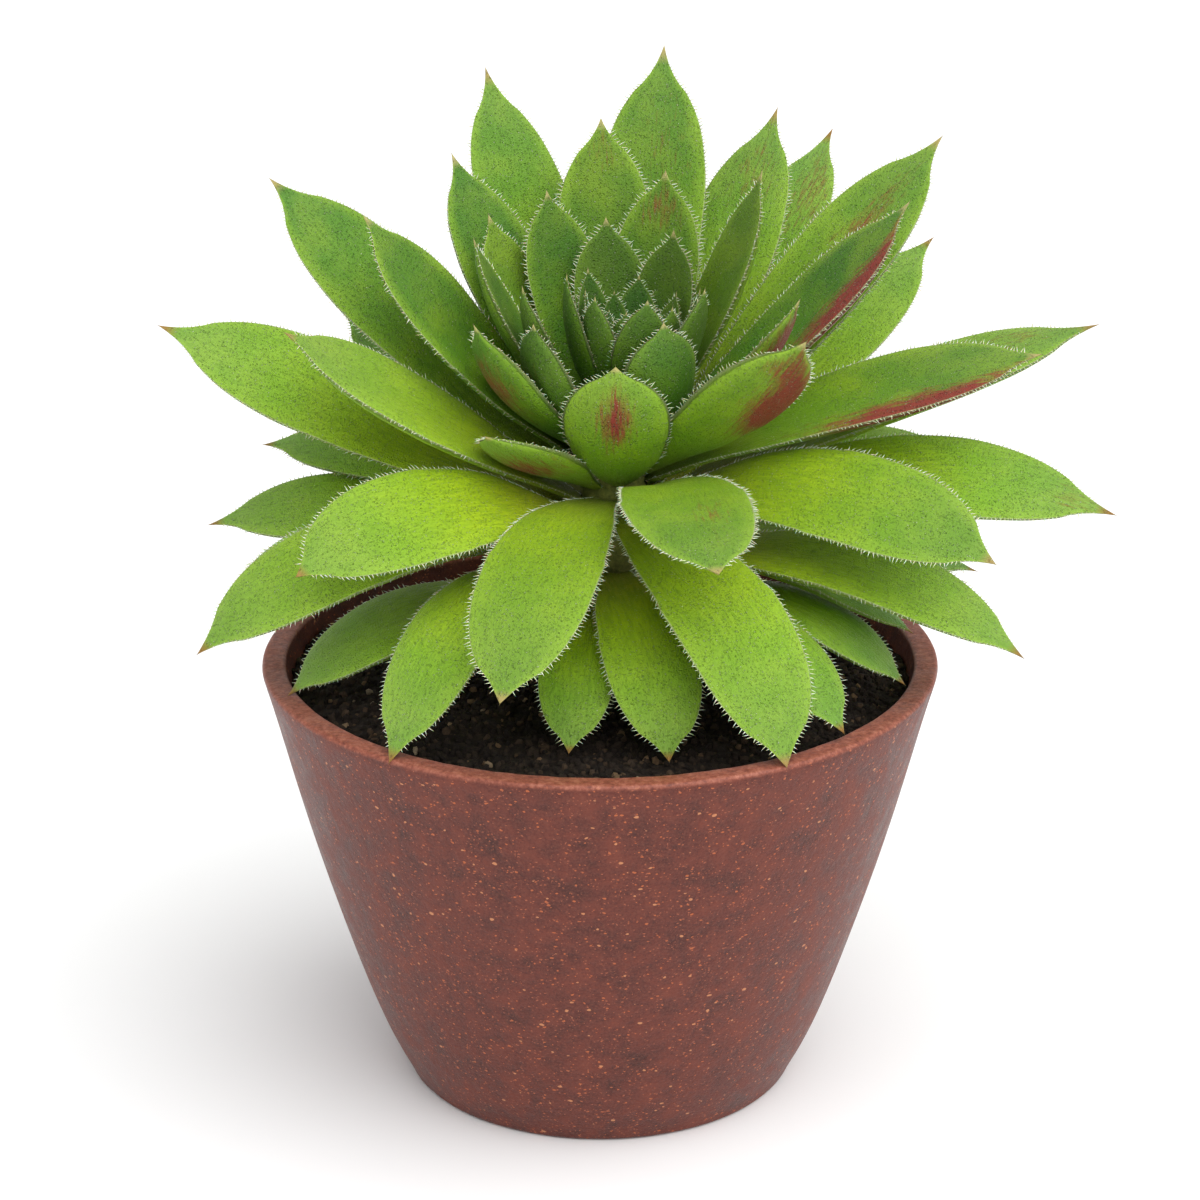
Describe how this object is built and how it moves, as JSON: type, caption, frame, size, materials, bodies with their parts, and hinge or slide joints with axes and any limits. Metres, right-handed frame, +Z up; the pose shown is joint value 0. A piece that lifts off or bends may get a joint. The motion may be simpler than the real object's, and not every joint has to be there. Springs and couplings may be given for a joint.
{
  "type": "potted succulent",
  "caption": "Houseleek rosette of fleshy pointed leaves on a short stem, rooted in soil in a tapered round pot with a flat base and drain holes.",
  "frame": {"origin": "centre of the pot's underside, on the ground", "axes": "+Z up out of the pot, -Y towards the front, +X to the right"},
  "size_m": [0.1133, 0.0947, 0.1236],
  "materials": {
    "pot": "satin, speckled",
    "soil": "crumbly",
    "stem": "scarred",
    "heart": "waxy",
    "leaf": "waxy"
  },
  "bodies": {
    "root": {"pot": "pot", "soil": "soil", "stem": "stem", "heart": "heart", "leaf_01": "leaf", "leaf_02": "leaf", "leaf_03": "leaf", "leaf_04": "leaf", "leaf_05": "leaf", "leaf_06": "leaf", "leaf_07": "leaf", "leaf_08": "leaf", "leaf_09": "leaf", "leaf_10": "leaf", "leaf_11": "leaf", "leaf_12": "leaf", "leaf_13": "leaf", "leaf_14": "leaf", "leaf_15": "leaf", "leaf_16": "leaf", "leaf_17": "leaf", "leaf_18": "leaf", "leaf_19": "leaf", "leaf_20": "leaf", "leaf_21": "leaf", "leaf_22": "leaf", "leaf_23": "leaf", "leaf_24": "leaf", "leaf_25": "leaf", "leaf_26": "leaf", "leaf_27": "leaf", "leaf_28": "leaf", "leaf_29": "leaf", "leaf_30": "leaf", "leaf_31": "leaf", "leaf_32": "leaf", "leaf_33": "leaf", "leaf_34": "leaf", "leaf_35": "leaf", "leaf_36": "leaf", "leaf_37": "leaf", "leaf_38": "leaf", "leaf_39": "leaf", "leaf_40": "leaf", "leaf_41": "leaf", "leaf_42": "leaf", "leaf_43": "leaf", "leaf_44": "leaf", "leaf_45": "leaf", "leaf_46": "leaf", "leaf_47": "leaf", "leaf_48": "leaf", "leaf_49": "leaf", "leaf_50": "leaf", "leaf_51": "leaf", "leaf_52": "leaf", "leaf_53": "leaf", "leaf_54": "leaf", "leaf_55": "leaf", "leaf_56": "leaf"}
  },
  "joints": []
}
